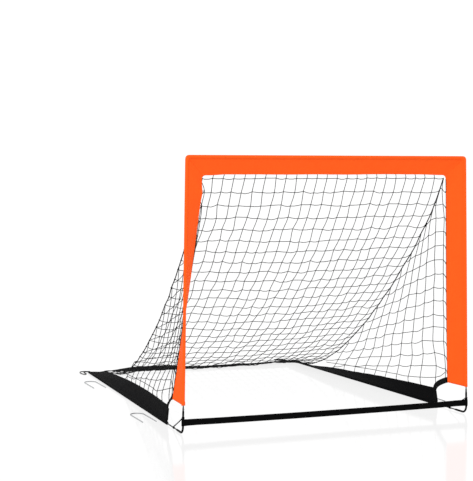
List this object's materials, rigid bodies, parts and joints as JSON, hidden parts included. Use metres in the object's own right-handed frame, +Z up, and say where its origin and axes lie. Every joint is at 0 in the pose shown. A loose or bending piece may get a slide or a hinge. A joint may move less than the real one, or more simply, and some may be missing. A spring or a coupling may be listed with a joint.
{
  "type": "pop up goal",
  "caption": "Folding lawn goal: a cloth-sleeved rod hoop hinged on a ground frame, with a sloping net, side panels, a front strap, cord loops and loose wire stakes.",
  "frame": {"origin": "on the ground, under the middle of the ground frame and hoop together", "axes": "+Z up, the mouth faces -Y, the net runs back along +Y, +X is right as seen from the front"},
  "size_m": [1.185, 1.5081, 0.915],
  "materials": {
    "orange_cloth": "coated woven polyester, light sheen",
    "black_cloth": "coated woven polyester, dull",
    "webbing": "ribbed woven webbing",
    "cord": "braided cord",
    "net_twine": "knotted twine",
    "rod": "resin-bonded glass fibre, satin",
    "painted_tube": "black powder coat",
    "cap": "soft vinyl",
    "stake_steel": "zinc-plated wire"
  },
  "bodies": {
    "ground_frame": {"rear_band": "black_cloth", "front_ground_strap": "webbing", "back_net": "net_twine", "side_rod_left": "rod", "side_rod_right": "rod", "rod_end_cap_left": "cap", "rod_end_cap_right": "cap", "corner_elbow_left": "painted_tube", "corner_elbow_right": "painted_tube", "side_panel_left": "black_cloth", "side_panel_right": "black_cloth", "rear_corner_pocket_left": "black_cloth", "rear_corner_pocket_right": "black_cloth", "corner_binding_left": "webbing", "corner_binding_right": "webbing", "side_net_left": "net_twine", "side_net_right": "net_twine", "seam_cord_left": "cord", "seam_cord_right": "cord", "corner_tie_left": "cord", "corner_tie_right": "cord", "stake_loop_left": "cord", "stake_loop_right": "cord"},
    "hoop": {"crossbar_rod": "rod", "crossbar_sleeve": "orange_cloth", "post_rod_left": "rod", "post_rod_right": "rod", "top_corner_connector_left": "painted_tube", "top_corner_connector_right": "painted_tube", "post_sleeve_left": "orange_cloth", "post_sleeve_right": "orange_cloth"},
    "stake_front_left": {"ground_stake_front_left": "stake_steel"},
    "stake_front_right": {"ground_stake_front_right": "stake_steel"},
    "stake_rear_left": {"ground_stake_rear_left": "stake_steel"},
    "stake_rear_right": {"ground_stake_rear_right": "stake_steel"}
  },
  "joints": [
    {"name": "hoop_fold", "type": "hinge", "parent": "ground_frame", "child": "hoop", "pos_m": [0, -0.7107, 0.086], "axis": [-1, 0, 0], "range_deg": [0, 75], "stiffness_Nm_per_rad": 8, "springref_deg": -8.59, "deforming": ["back_net", "side_net_left", "side_net_right", "seam_cord_left", "seam_cord_right", "corner_binding_left", "corner_binding_right"]},
    {"name": "stake_front_left_lift", "type": "slide", "parent": "ground_frame", "child": "stake_front_left", "axis": [0, 0, 1], "range_m": [0, 0.25]},
    {"name": "stake_front_right_lift", "type": "slide", "parent": "ground_frame", "child": "stake_front_right", "axis": [0, 0, 1], "range_m": [0, 0.25]},
    {"name": "stake_rear_left_lift", "type": "slide", "parent": "ground_frame", "child": "stake_rear_left", "axis": [0, 0, 1], "range_m": [0, 0.25]},
    {"name": "stake_rear_right_lift", "type": "slide", "parent": "ground_frame", "child": "stake_rear_right", "axis": [0, 0, 1], "range_m": [0, 0.25]}
  ]
}
